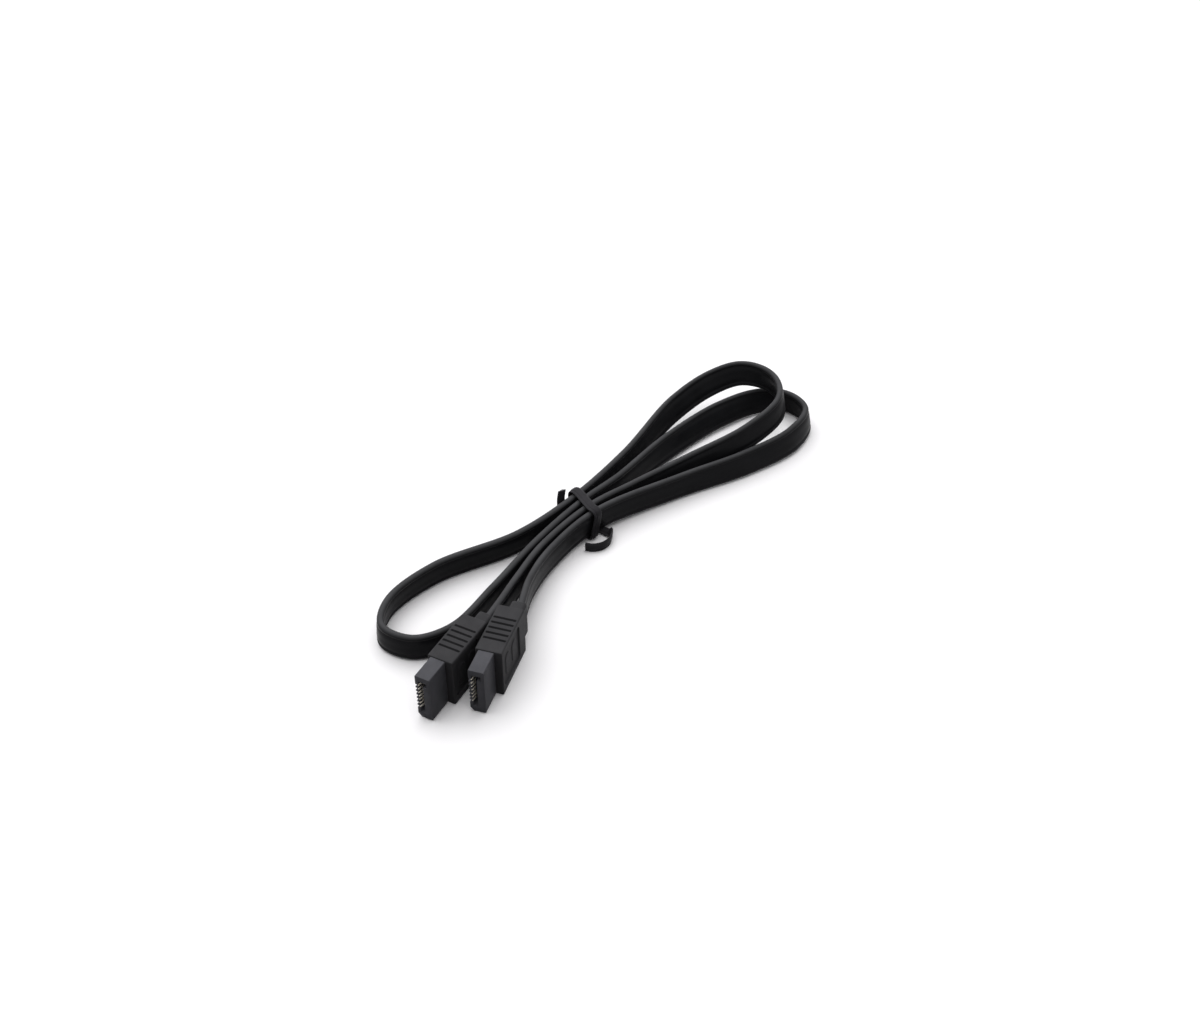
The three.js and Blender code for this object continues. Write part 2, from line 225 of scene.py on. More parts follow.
# Turns the faces outwards, smooths the shading and keeps the sharp edges
def finishPiece(name, mesh, material, sharp=38):
    shape = bmesh.new()
    shape.from_mesh(mesh)
    bmesh.ops.remove_doubles(shape, verts=shape.verts, dist=1e-7)
    if shape.calc_volume(signed=True) < 0:
        bmesh.ops.reverse_faces(shape, faces=shape.faces)
    shape.to_mesh(mesh)
    shape.free()
    mesh.name = name
    mesh.materials.clear()
    mesh.materials.append(material)
    mesh.polygons.foreach_set("material_index", [0] * len(mesh.polygons))
    mesh.polygons.foreach_set("use_smooth", [True] * len(mesh.polygons))
    mesh.set_sharp_from_angle(angle=math.radians(sharp))
    mesh.update()
    return link(bpy.data.objects.new(name, mesh))


# A smooth line through the points, as many steps in each span; the second list holds
# where each step is, counted in points
def smoothLine(points, perSpan):
    known = [Vector(p) for p in points]
    padded = [2 * known[0] - known[1], *known, 2 * known[-1] - known[-2]]
    line, counts = [], []
    for i in range(len(known) - 1):
        a, b, c, d = padded[i:i + 4]
        before, span, after = [math.sqrt((q - p).length) for p, q in ((a, b), (b, c), (c, d))]
        leave = ((b - a) / before - (c - a) / (before + span) + (c - b) / span) * span
        arrive = ((c - b) / span - (d - b) / (span + after) + (d - c) / after) * span
        last = i == len(known) - 2
        for k in range(perSpan + last):
            t = k / perSpan
            cubic = (2 * b - 2 * c + leave + arrive) * t ** 3
            square = (3 * c - 3 * b - 2 * leave - arrive) * t ** 2
            line.append(cubic + square + leave * t + b)
            counts.append(i + t)
    return line, counts


def tangentsOf(line):
    steps = [line[min(i + 1, len(line) - 1)] - line[max(i - 1, 0)] for i in range(len(line))]
    return [step.normalized() for step in steps]


def squareTo(side, tangent):
    return (side - tangent * side.dot(tangent)).normalized()


# A line as a mesh of edges that carries the sweep's side direction and its length
def lineMesh(name, line, sides):
    mesh = meshFrom(name, line, edges=[(i, i + 1) for i in range(len(line) - 1)])
    travelled = np.cumsum([0] + [(b - a).length for a, b in zip(line, line[1:])])
    mesh.attributes.new("along", "FLOAT", "POINT").data.foreach_set("value", travelled)
    side = mesh.attributes.new("side", "FLOAT_VECTOR", "POINT")
    side.data.foreach_set("vector", [value for vector in sides for value in vector])
    return mesh


# A closed outline of (across, through) in metres, for a sweep
def sectionObject(name, outline):
    count = len(outline)
    mesh = meshFrom(name, [(a, t, 0) for a, t in outline], edges=[(i, (i + 1) % count) for i in range(count)])
    for label, values in zip(("across", "through"), zip(*outline)):
        mesh.attributes.new(label, "FLOAT", "POINT").data.foreach_set("value", values)
    return link(bpy.data.objects.new(name, mesh))


# Sweeps a section along a line whose points say which way the section's width goes
def sweepTree():
    sockets = [
        ("Line", "Geometry", "INPUT"), ("Section", "Object", "INPUT"), ("Section Scale", "Float", "INPUT"),
        ("Material", "Material", "INPUT"), ("Piece", "Geometry", "OUTPUT"),
    ]
    tree, kit, entry = newTree("sweepSection", sockets)
    side = kit.node("GeometryNodeInputNamedAttribute", {"data_type": "FLOAT_VECTOR"}, {"Name": "side"})
    rail = kit.node("GeometryNodeMeshToCurve", None, {"Mesh": entry})
    turned = kit.node("GeometryNodeSetCurveNormal", {"mode": "FREE"}, {"Curve": rail, "Normal": side})
    info = kit.node("GeometryNodeObjectInfo", None, {"Object": entry.other("Section")})
    outline = kit.node("GeometryNodeMeshToCurve", None, {"Mesh": info.other("Geometry")})
    sockets = {
        "Curve": turned, "Profile Curve": outline, "Fill Caps": True,
        "Scale": entry.other("Section Scale"),
    }
    swept = kit.node("GeometryNodeCurveToMesh", None, sockets)
    return closeTree(tree, kit, entry, swept)


def sweepPiece(name, line, sides, outline, tree, material):
    section = sectionObject(name + "Section", outline)
    values = {"Section": section, "Section Scale": 1.0, "Material": material}
    piece = growPiece(name, lineMesh(name, line, sides), tree, values, material)
    bpy.data.objects.remove(section)
    return piece


# A ring of points round a rounded rectangle at x: y is the thin way, z the tall way
def roundedRing(x, thickness, height, radius, y, z, counts):
    ring = []
    halfY, halfZ = thickness / 2 - radius, height / 2 - radius
    corners = [(halfY, halfZ, 0), (-halfY, halfZ, 90), (-halfY, -halfZ, 180), (halfY, -halfZ, 270)]
    sides = [counts["across"], counts["up"], counts["across"], counts["up"]]
    for index, (cy, cz, start) in enumerate(corners):
        for k in range(counts["corner"] + 1):
            angle = math.radians(start + 90 * k / counts["corner"])
            ring.append((x, y + cy + radius * math.cos(angle), z + cz + radius * math.sin(angle)))
        nextY, nextZ, _ = corners[(index + 1) % 4]
        angle = math.radians(start + 90)
        run = Vector((0, nextY - cy, nextZ - cz))
        base = Vector(ring[-1])
        ring.extend(tuple(base + run * (k / sides[index])) for k in range(1, sides[index]))
    return ring


# A closed skin over rings that all have the same number of points
def skinRings(name, rings):
    count = len(rings[0])
    points = [p for ring in rings for p in ring]
    faces = []
    for r in range(len(rings) - 1):
        a, b = r * count, (r + 1) * count
        faces.extend((a + k, a + (k + 1) % count, b + (k + 1) % count, b + k) for k in range(count))
    faces.append(tuple(reversed(range(count))))
    faces.append(tuple(range(len(points) - count, len(points))))
    return meshFrom(name, points, faces)


def placeMesh(mesh, matrix):
    mesh.transform(matrix)
    mesh.update()
    return mesh


print("camera and route")
addCamera()
sweep = sweepTree()


# Finishes

# The paler bead colour is partly rubbing and partly a painted highlight along the edge beads
jacketLook = {
    "dark": (0.009, 0.009, 0.01, 1), "light": (0.014, 0.014, 0.0155, 1), "rubbedAndHighlight": (0.09, 0.09, 0.095, 1),
    "roughness": 0.34, "roughnessSpread": 0.1, "specular": 0.05,
    "grainScale": 5200, "streakScale": 2600, "streakStretch": 0.015, "handledScale": 130,
    "grainDepth": 0.012 * mm, "streakDepth": 0.02 * mm, "beadFrom": 3.1 * mm, "beadRun": 0.9 * mm,
}


# Soft black PVC as it comes from the die: fine lines along it, a faint grain, and
# edge beads painted a little paler, partly as rubbing and partly as a painted highlight
def jacketPvc():
    material, kit = newFinish("jacketPvc")
    look = jacketLook
    along, across, through = (
        kit.node("ShaderNodeAttribute", {"attribute_name": label}, out=2)
        for label in ("along", "across", "through")
    )
    place = kit.vector(along, across, through)
    grain = kit.noise(place, look["grainScale"], 3, 0.6)
    streaks = kit.noise(kit.vector(along * look["streakStretch"], across, through), look["streakScale"], 3)
    handled = kit.noise(place, look["handledScale"], 4, 0.6)
    edge = kit.ramp((abs(across) - look["beadFrom"]) / look["beadRun"], [(0, 0), (1, 1)])
    cloudy = kit.ramp(handled, [(0.35, 0), (0.7, 1)])
    body = kit.mixColour(cloudy * 0.6 + streaks * 0.4, look["dark"], look["light"])
    # Painted highlight: the beads along both edges are painted paler, partly as rubbing and partly standing
    # in for the gloss line along the top edge
    colour = kit.mixColour(edge * (0.35 + handled * 0.5), body, look["rubbedAndHighlight"])
    roughness = look["roughness"] + (cloudy - 0.5) * look["roughnessSpread"] + grain * 0.06
    lines = kit.bump(streaks, look["streakDepth"], 0.6)
    normal = kit.bump(grain, look["grainDepth"], 0.7, lines)
    sockets = {"Base Color": colour, "Roughness": roughness, "Normal": normal}
    closeFinish(kit, {**sockets, "Specular IOR Level": look["specular"]})
    return material


shellLook = {
    "dark": (0.036, 0.0355, 0.038, 1), "light": (0.049, 0.048, 0.051, 1), "dust": (0.09, 0.088, 0.088, 1),
    "roughness": 0.5, "grainScale": 9000, "grainDepth": 0.03 * mm, "grainStrength": 0.55,
}
insertLook = {
    "dark": (0.068, 0.068, 0.076, 1), "light": (0.088, 0.088, 0.098, 1), "dust": (0.13, 0.13, 0.135, 1),
    "roughness": 0.44, "grainScale": 12000, "grainDepth": 0.018 * mm, "grainStrength": 0.45,
}
tieLook = {
    "dark": (0.026, 0.025, 0.028, 1), "light": (0.036, 0.035, 0.039, 1), "dust": (0.06, 0.06, 0.06, 1),
    "roughness": 0.34, "grainScale": 3800, "grainDepth": 0.02 * mm, "grainStrength": 0.4,
}
mouldedLook = {"specular": 0.04, "coarseShare": 0.31, "patchScale": 240, "dustScale": 2400}


# Moulded black plastic: the mould's fine sparked grain, slightly uneven in gloss
def mouldedPlastic(name, look):
    material, kit = newFinish(name)
    place = kit.node("ShaderNodeTexCoord", out=3)
    grain = kit.noise(place, look["grainScale"], 2, 0.55)
    coarse = kit.noise(place, look["grainScale"] * mouldedLook["coarseShare"], 2)
    patches = kit.noise(place, mouldedLook["patchScale"], 3, 0.6)
    dust = kit.ramp(kit.noise(place, mouldedLook["dustScale"], 3, 0.7), [(0.62, 0), (0.8, 1)])
    cloudy = kit.ramp(patches, [(0.35, 0), (0.7, 1)])
    body = kit.mixColour(cloudy * 0.7 + coarse * 0.3, look["dark"], look["light"])
    colour = kit.mixColour(dust * cloudy * 0.35, body, look["dust"])
    roughness = look["roughness"] + (cloudy - 0.5) * 0.08 + (grain - 0.5) * 0.1
    relief = kit.bump(grain * 0.6 + coarse * 0.4, look["grainDepth"], look["grainStrength"])
    sockets = {"Base Color": colour, "Roughness": roughness, "Normal": relief}
    closeFinish(kit, {**sockets, "Specular IOR Level": mouldedLook["specular"]})
    return material


contactLook = {
    "gold": (0.95, 0.89, 0.74, 1), "worn": (0.98, 0.95, 0.88, 1), "roughness": 0.42,
    "fineScale": 6000, "patchScale": 900, "relief": 0.006 * mm,
}


# Plated metal, worn paler in patches
def platedContact():
    material, kit = newFinish("platedContact")
    place = kit.node("ShaderNodeTexCoord", out=3)
    look = contactLook
    fine = kit.noise(place, look["fineScale"], 3)
    patches = kit.ramp(kit.noise(place, look["patchScale"], 3), [(0.3, 0), (0.75, 1)])
    colour = kit.mixColour(patches, look["gold"], look["worn"])
    roughness = look["roughness"] + patches * 0.12 + fine * 0.08
    relief = kit.bump(fine, look["relief"], 0.5)
    closeFinish(kit, {"Base Color": colour, "Roughness": roughness, "Metallic": 1.0, "Normal": relief})
    return material


wireLook = {
    "bright": (0.62, 0.62, 0.63, 1), "dull": (0.42, 0.41, 0.4, 1), "roughness": 0.28,
    "drawnScale": 7000, "dullScale": 1800, "relief": 0.01 * mm,
}


# The tie's steel wire where it is cut
def cutWire():
    material, kit = newFinish("cutWire")
    place = kit.node("ShaderNodeTexCoord", out=3)
    look = wireLook
    drawn = kit.noise(place, look["drawnScale"], 3, 0.6)
    tarnish = kit.ramp(kit.noise(place, look["dullScale"], 3), [(0.4, 0), (0.7, 1)])
    colour = kit.mixColour(tarnish, look["bright"], look["dull"])
    relief = kit.bump(drawn, look["relief"], 0.6)
    roughness = look["roughness"] + tarnish * 0.2
    closeFinish(kit, {"Base Color": colour, "Roughness": roughness, "Metallic": 1.0, "Normal": relief})
    return material


# The lead

leadSizes = {
    "width": 8.1, "thickness": 2.1, "beadRadius": 0.98, "groove": 0.86, "valley": 1.03, "perSpan": 24,
}


# The section as (across, through). Its quarter is in mm: the rounded bead on the edge,
# the shallow groove beside it, and the swell over the wire pair.
def leadOutline():
    sizes = leadSizes
    radius = sizes["beadRadius"]
    middle = sizes["width"] / 2 - radius
    swell = sizes["thickness"] / 2
    bead = [(middle + radius * math.cos(math.radians(a)), radius * math.sin(math.radians(a)))
            for a in range(0, 121, 12)]
    flank = [
        (2.52, sizes["groove"] + 0.01), (2.4, sizes["groove"]), (2.25, sizes["groove"] + 0.03),
        (2.0, 0.96), (1.7, 1.01), (1.3, swell), (0.9, swell), (0.45, swell - 0.01),
        (0.2, sizes["valley"] + 0.005),
    ]
    quarter = bead + flank + [(0, sizes["valley"])]
    left = [(-a, t) for a, t in reversed(quarter[:-1])]
    upper = quarter + left
    lower = [(a, -t) for a, t in reversed(upper[1:-1])]
    return [(a * mm, t * mm) for a, t in upper + lower]


def makeLead(material):
    line, counts = smoothLine([row[:3] for row in leadRoute], leadSizes["perSpan"])
    up = Vector((0, 0, 1))
    sides = []
    for tangent, count in zip(tangentsOf(line), counts):
        index = min(int(count), len(leadRoute) - 2)
        lean = np.interp(count - index, (0, 1), (leadRoute[index][3], leadRoute[index + 1][3]))
        left = up.cross(tangent).normalized()
        sides.append(squareTo(up * math.cos(lean) + left * math.sin(lean), tangent))
    piece = sweepPiece("cableJacket", line, sides, leadOutline(), sweep, material)
    length = sum((b - a).length for a, b in zip(line, line[1:]))
    return piece, line, length


# The plugs, in millimetres in a plug's own frame: x to its mating face, y across its
# thin way, z up, from the floor below the lead at the back of the body

plugSizes = {
    "length": 17, "thickness": 7.3, "height": 15, "side": -0.6, "cornerRadius": 0.45, "endRadius": 0.25,
    "neckLength": 4.7, "neckThickness": 4.2, "neckHeight": 11, "neckRadius": 0.9,
    "neckEdge": 0.45, "leadDepth": 2.8, "leadClearance": 0.07, "mouthRadius": 0.6,
}
gripSizes = {
    "count": 5, "pitch": 1.95, "width": 0.62, "depth": 0.6, "middle": 8.6, "margin": 0.6, "radius": 0.2,
    "blend": 0.14,
}
panelSizes = {
    "start": 4.3, "end": 15.7, "bottom": 1.8, "top": 13.2, "depth": 0.45, "radius": 1.1, "blend": 0.22,
}
padSizes = {"width": 3.2, "height": 7, "proud": 0.2, "spacing": 4.8, "blend": 0.3}
ringCounts = {"across": 46, "up": 104, "corner": 5, "coarse": 0.16, "fine": 0.075}


def plugMatrix(letter):
    end, before = (leadRoute[0], leadRoute[1]) if letter == "A" else (leadRoute[-1], leadRoute[-2])
    yaw = math.atan2(end[1] - before[1], end[0] - before[0])
    depth = plugSizes["leadDepth"] * mm
    place = (end[0] - depth * math.cos(yaw), end[1] - depth * math.sin(yaw), 0)
    return Matrix.Translation(place) @ Matrix.Rotation(yaw, 4, "Z") @ Matrix.Scale(mm, 4)


# 1 inside a rounded rectangle, 0 outside, with a soft edge as wide as blend
def softShape(x, y, centreX, centreY, width, height, radius, blend):
    px = np.abs(x - centreX) - width / 2 + radius
    py = np.abs(y - centreY) - height / 2 + radius
    outside = np.hypot(np.maximum(px, 0), np.maximum(py, 0))
    distance = outside + np.minimum(np.maximum(px, py), 0) - radius
    t = np.clip(0.5 - distance / blend, 0, 1)
    return t * t * (3 - 2 * t)


# How far the grip grooves go in at each place of the narrow faces
def gripDepth(x, y):
    sizes = gripSizes
    depth = np.zeros_like(x)
    for index in range(sizes["count"]):
        groove = sizes["middle"] + (index - (sizes["count"] - 1) / 2) * sizes["pitch"]
        reach = plugSizes["thickness"] - 2 * sizes["margin"]
        size = (sizes["width"], reach, sizes["radius"], sizes["blend"])
        shape = softShape(x, y, groove, plugSizes["side"], *size)
        depth = np.maximum(depth, sizes["depth"] * shape)
    return depth


# How far the panel goes in at each place of the broad faces, less the two oval pads
def panelDepth(x, z, pads):
    sizes = panelSizes
    centreX, centreZ = (sizes["start"] + sizes["end"]) / 2, (sizes["bottom"] + sizes["top"]) / 2
    width, height = sizes["end"] - sizes["start"], sizes["top"] - sizes["bottom"]
    size = (width, height, sizes["radius"], sizes["blend"])
    depth = sizes["depth"] * softShape(x, z, centreX, centreZ, *size)
    if pads:
        for step in (-0.5, 0.5):
            padX = centreX + step * padSizes["spacing"]
            size = (padSizes["width"], padSizes["height"], padSizes["width"] / 2, padSizes["blend"])
            depth = depth - padSizes["proud"] * softShape(x, z, padX, centreZ, *size)
    return depth


# Presses the grooves and panels into the body's points
def pressBody(points):
    sizes = plugSizes
    x, y, z = points.T
    flatY = np.abs(y - sizes["side"]) > sizes["thickness"] / 2 - 0.01
    flatZ = np.abs(z - sizes["height"] / 2) > sizes["height"] / 2 - 0.01
    right = y > sizes["side"]
    towards = np.where(right, -1, 1)
    shift = np.where(right, panelDepth(x, z, True), panelDepth(x, z, False)) * towards
    points[:, 1] = np.where(flatY, y + shift, y)
    inward = np.where(z > sizes["height"] / 2, -1, 1)
    points[:, 2] = np.where(flatZ, z + inward * gripDepth(x, y), z)
    return points


# Where the body's rings stand: closer together over the grip grooves
def shellStations():
    end = plugSizes["endRadius"]
    coarse, fine = ringCounts["coarse"], ringCounts["fine"]
    first = gripSizes["middle"] - gripSizes["count"] / 2 * gripSizes["pitch"]
    last = gripSizes["middle"] + gripSizes["count"] / 2 * gripSizes["pitch"]
    rear = np.arange(end + 0.1, first, coarse)
    middle = np.arange(first, last, fine)
    front = np.arange(last, plugSizes["length"] - end - 0.1, coarse)
    return np.concatenate([rear, middle, front])


# The body, its neck and the mouth that the lead goes into, as one skin
def shellMesh(letter):
    sizes = plugSizes
    middle = sizes["height"] / 2
    rear = -sizes["neckLength"]
    room = 2 * sizes["leadClearance"]
    mouth = (leadSizes["thickness"] + room, leadSizes["width"] + room, sizes["mouthRadius"])
    neck = (sizes["neckThickness"], sizes["neckHeight"], sizes["neckRadius"])
    body = (sizes["thickness"], sizes["height"], sizes["cornerRadius"])
    quarter = [math.radians(18 * k) for k in range(6)]
    rings = []

    # One ring of a size, so much larger all round, with its radius changed as much
    def addRing(x, size, grown=0, rounder=0, side=0):
        thickness, height, radius = size
        ring = roundedRing(x, thickness + grown, height + grown, radius + rounder, side, middle, ringCounts)
        rings.append(ring)

    for x in (sizes["leadDepth"] + 0.2, 0, rear + 0.3):
        addRing(x, mouth)
    addRing(rear + 0.06, mouth, 0.16, 0.08)
    addRing(rear, mouth, 0.45, 0.2)
    for angle in quarter:
        inset = 2 * sizes["neckEdge"] * (1 - math.sin(angle))
        addRing(rear + sizes["neckEdge"] * (1 - math.cos(angle)), neck, -inset, -inset / 4)
    for x in (-2.5, -1, -0.25):
        addRing(x, neck)
    addRing(-0.06, neck, 0.1)
    addRing(0, neck, 0.4, 0.1)
    end = sizes["endRadius"]
    for angle in quarter:
        inset = 2 * end * (1 - math.sin(angle))
        addRing(end * (1 - math.cos(angle)), body, -inset, 0, sizes["side"])
    for x in shellStations():
        addRing(x, body, 0, 0, sizes["side"])
    for angle in reversed(quarter):
        inset = 2 * end * (1 - math.sin(angle))
        addRing(sizes["length"] - end * (1 - math.cos(angle)), body, -inset, 0, sizes["side"])
    points = np.array([p for ring in rings for p in ring])
    onBody = points[:, 0] > end
    firstBody = len(points) - np.argmax(~onBody[::-1])
    points[firstBody:] = pressBody(points[firstBody:])
    count = len(rings[0])
    pressed = [points[i:i + count] for i in range(0, len(points), count)]
    return skinRings("plugShell" + letter, pressed)


hoodSizes = {
    "start": 17.04, "length": 7.46, "thickness": 4.3, "height": 14.4, "side": -1.2, "wall": 0.9,
    "chamfer": 1, "cornerRadius": 0.3, "slotWidth": 1.35, "slotHeight": 10.9, "slotDepth": 6.2,
    "footReach": 1.1, "footHeight": 1.5, "edge": 0.09, "overrun": 1,
}
contactSizes = {
    "count": 7, "pitch": 1.27, "width": 0.6, "thickness": 0.24, "recess": 0.35, "tailRun": 2,
    "channelWidth": 0.82, "channelDepth": 0.55, "notch": 1.7, "gap": 0.12, "edge": 0.035, "hump": 1.4,
}


# Where the hood's and the slot's sides are
def hoodPlaces():
    sizes = hoodSizes
    left = sizes["side"] - sizes["thickness"] / 2
    middle = plugSizes["height"] / 2
    return {
        "left": left, "right": left + sizes["thickness"], "slotLeft": left + sizes["wall"],
        "front": sizes["start"] + sizes["length"], "middle": middle,
        "bottom": middle - sizes["height"] / 2, "top": middle + sizes["height"] / 2,
        "slotBottom": middle - sizes["slotHeight"] / 2, "slotTop": middle + sizes["slotHeight"] / 2,
    }


# An outline with its corners rounded, as (y, z)
def roundCorners(outline, radius, steps=4):
    rounded = []
    count = len(outline)
    for i, corner in enumerate(outline):
        corner = Vector(corner)
        before = (Vector(outline[i - 1]) - corner).normalized()
        after = (Vector(outline[(i + 1) % count]) - corner).normalized()
        half = before.angle(after) / 2
        run = radius / math.tan(half)
        a, b = corner + before * run, corner + after * run
        for k in range(steps + 1):
            t = k / steps
            rounded.append((a * (1 - t) ** 2 + corner * 2 * t * (1 - t) + b * t ** 2)[:])
    return rounded


# An outline of (y, z) carried straight along x
def prism(name, outline, start, end):
    rings = [[(x, y, z) for y, z in outline] for x in (start, end)]
    mesh = skinRings(name, rings)
    shape = bmesh.new()
    shape.from_mesh(mesh)
    bmesh.ops.recalc_face_normals(shape, faces=shape.faces)
    shape.to_mesh(mesh)
    shape.free()
    return mesh


# Cuts the slot, then a channel and an end notch for each contact, out of the hood
def channelTree():
    sockets = [
        ("Hood", "Geometry", "INPUT"), ("Slot", "Object", "INPUT"), ("Count", "Int", "INPUT"),
        ("Pitch", "Vector", "INPUT"), ("Start", "Vector", "INPUT"), ("Channel Size", "Vector", "INPUT"),
        ("Notch Size", "Vector", "INPUT"), ("Notch Place", "Vector", "INPUT"),
        ("Material", "Material", "INPUT"), ("Piece", "Geometry", "OUTPUT"),
    ]
    tree, kit, entry = newTree("cutChannels", sockets)
    channel = kit.node("GeometryNodeMeshCube", None, {"Size": entry.other("Channel Size")})
    notch = kit.node("GeometryNodeMeshCube", None, {"Size": entry.other("Notch Size")})
    place = {"Geometry": notch, "Translation": entry.other("Notch Place")}
    moved = kit.node("GeometryNodeTransform", None, place)
    row = {
        "Count": entry.other("Count"), "Offset": entry.other("Pitch"),
        "Start Location": entry.other("Start"),
    }
    places = kit.node("GeometryNodeMeshLine", None, row)
    cut = kit.node("GeometryNodeObjectInfo", None, {"Object": entry.other("Slot")}).other("Geometry")
    cutting = {"operation": "DIFFERENCE", "solver": "MANIFOLD"}
    solid = kit.node("GeometryNodeMeshBoolean", cutting, {"Mesh 1": entry, "Mesh 2": cut})
    for shape in (channel, moved):
        copies = kit.node("GeometryNodeInstanceOnPoints", None, {"Points": places, "Instance": shape})
        cutters = kit.node("GeometryNodeRealizeInstances", None, {"Geometry": copies})
        solid = kit.node("GeometryNodeMeshBoolean", cutting, {"Mesh 1": solid, "Mesh 2": cutters})
    return closeTree(tree, kit, entry, solid)


# Takes the sharpness off the edges of a cut shape
def softenEdges(piece, width, angle=35):
    bevel = piece.modifiers.new("softEdges", "BEVEL")
    bevel.width = width
    bevel.segments = 2
    bevel.limit_method = "ANGLE"
    bevel.angle_limit = math.radians(angle)
    bevel.use_clamp_overlap = True
    graph = bpy.context.evaluated_depsgraph_get()
    mesh = bpy.data.meshes.new_from_object(piece.evaluated_get(graph))
    piece.modifiers.clear()
    piece.data = mesh
    mesh.polygons.foreach_set("use_smooth", [True] * len(mesh.polygons))
    mesh.set_sharp_from_angle(angle=math.radians(angle))
    return piece


def makeInsert(letter, tree, material):
    sizes, at = hoodSizes, hoodPlaces()
    outline = [
        (at["left"] + sizes["chamfer"], at["bottom"]), (at["right"], at["bottom"]), (at["right"], at["top"]),
        (at["left"], at["top"]), (at["left"], at["bottom"] + sizes["chamfer"]),
    ]
    hood = prism("hood", roundCorners(outline, sizes["cornerRadius"]), sizes["start"], at["front"])
    right = at["slotLeft"] + sizes["slotWidth"]
    foot = at["slotTop"] - sizes["footHeight"]
    slotOutline = [
        (at["slotLeft"], at["slotBottom"]), (right, at["slotBottom"]), (right, foot),
        (right + sizes["footReach"], foot), (right + sizes["footReach"], at["slotTop"]),
        (at["slotLeft"], at["slotTop"]),
    ]
    past = at["front"] + sizes["overrun"]
    slotMesh = prism("slot", slotOutline, at["front"] - sizes["slotDepth"], past)
    slot = link(bpy.data.objects.new("slot" + letter, slotMesh))
    contact = contactSizes
    back = at["front"] - sizes["slotDepth"] - contact["tailRun"] - contact["gap"]
    deep = at["slotLeft"] - contact["channelDepth"]
    channel = (past - back, contact["channelDepth"] + contact["gap"], contact["channelWidth"])
    middle = ((past + back) / 2, deep + channel[1] / 2)
    notch = (
        contact["notch"] + sizes["overrun"], at["slotLeft"] - at["left"] + sizes["overrun"],
        contact["channelWidth"],
    )
    notchPlace = (past - notch[0] / 2 - middle[0], at["slotLeft"] - notch[1] / 2 - middle[1], 0)
    first = at["middle"] - (contact["count"] - 1) / 2 * contact["pitch"]
    values = {
        "Slot": slot, "Count": contact["count"], "Pitch": (0, 0, contact["pitch"]), "Start": (*middle, first),
        "Channel Size": channel, "Notch Size": notch, "Notch Place": notchPlace, "Material": material,
    }
    piece = growPiece("plugInsert" + letter, hood, tree, values, material)
    bpy.data.objects.remove(slot)
    softenEdges(piece, sizes["edge"])
    placeMesh(piece.data, plugMatrix(letter))
    return piece


# Repeats one contact up the slot
def contactTree():
    sockets = [
        ("Contact", "Geometry", "INPUT"), ("Count", "Int", "INPUT"), ("Pitch", "Vector", "INPUT"),
        ("Material", "Material", "INPUT"), ("Piece", "Geometry", "OUTPUT"),
    ]
    tree, kit, entry = newTree("contactRow", sockets)
    row = {"Count": entry.other("Count"), "Offset": entry.other("Pitch")}
    places = kit.node("GeometryNodeMeshLine", None, row)
    copies = kit.node("GeometryNodeInstanceOnPoints", None, {"Points": places, "Instance": entry})
    return closeTree(tree, kit, entry, copies)


# The lowest contact: a sprung blade with a hump that stands into the slot
def contactMesh(letter):
    sizes, at = contactSizes, hoodPlaces()
    back = at["front"] - hoodSizes["slotDepth"] - sizes["tailRun"]
    tip = at["front"] - sizes["recess"]
    base = at["slotLeft"] - sizes["channelDepth"] + sizes["gap"]
    crest = at["slotLeft"]
    hump = tip - sizes["hump"]
    line, _ = smoothLine([
        (back, base, 0), (back + 1.5, base, 0), (hump - 1.9, base, 0), (hump - 0.9, (base + crest) / 2, 0),
        (hump, crest, 0), (hump + 0.7, crest - 0.13, 0), (tip, base, 0),
    ], 6)
    sides = [Vector((-t.y, t.x, 0)) for t in tangentsOf(line)]
    outer = [(p + s * sizes["thickness"]) for p, s in zip(line, sides)]
    outline = [(p.x, p.y) for p in line] + [(p.x, p.y) for p in reversed(outer)]
    low = at["middle"] - (sizes["count"] - 1) / 2 * sizes["pitch"] - sizes["width"] / 2
    rings = [[(x, y, z) for x, y in outline] for z in (low, low + sizes["width"])]
    return skinRings("contact" + letter, rings)


def makeContacts(letter, tree, material):
    values = {"Count": contactSizes["count"], "Pitch": (0, 0, contactSizes["pitch"]), "Material": material}
    piece = growPiece("plugContacts" + letter, contactMesh(letter), tree, values, material)
    softenEdges(piece, contactSizes["edge"], 60)
    placeMesh(piece.data, plugMatrix(letter))
    return piece


# The twist tie, in millimetres in its own frame: x along the strands, y across them

tieSizes = {
    "place": (-4.9, 9.1), "yaw": 0.2, "strands": 4, "pitch": 3, "middle": 5.25, "width": 3, "crown": 0.7,
    "groove": 0.28, "bead": 0.5, "edge": 0.3, "gap": 0.45, "bend": 1.5, "straight": 0.8, "hookRise": 1.2,
    "perSpan": 10, "wireDiameter": 0.38, "wireProud": 0.5, "wireInside": 0.6, "wireRim": 0.06,
}


def tieMatrix():
    x, y = tieSizes["place"]
    place = Matrix.Translation((x * mm, y * mm, 0))
    return place @ Matrix.Rotation(tieSizes["yaw"], 4, "Z") @ Matrix.Scale(mm, 4)


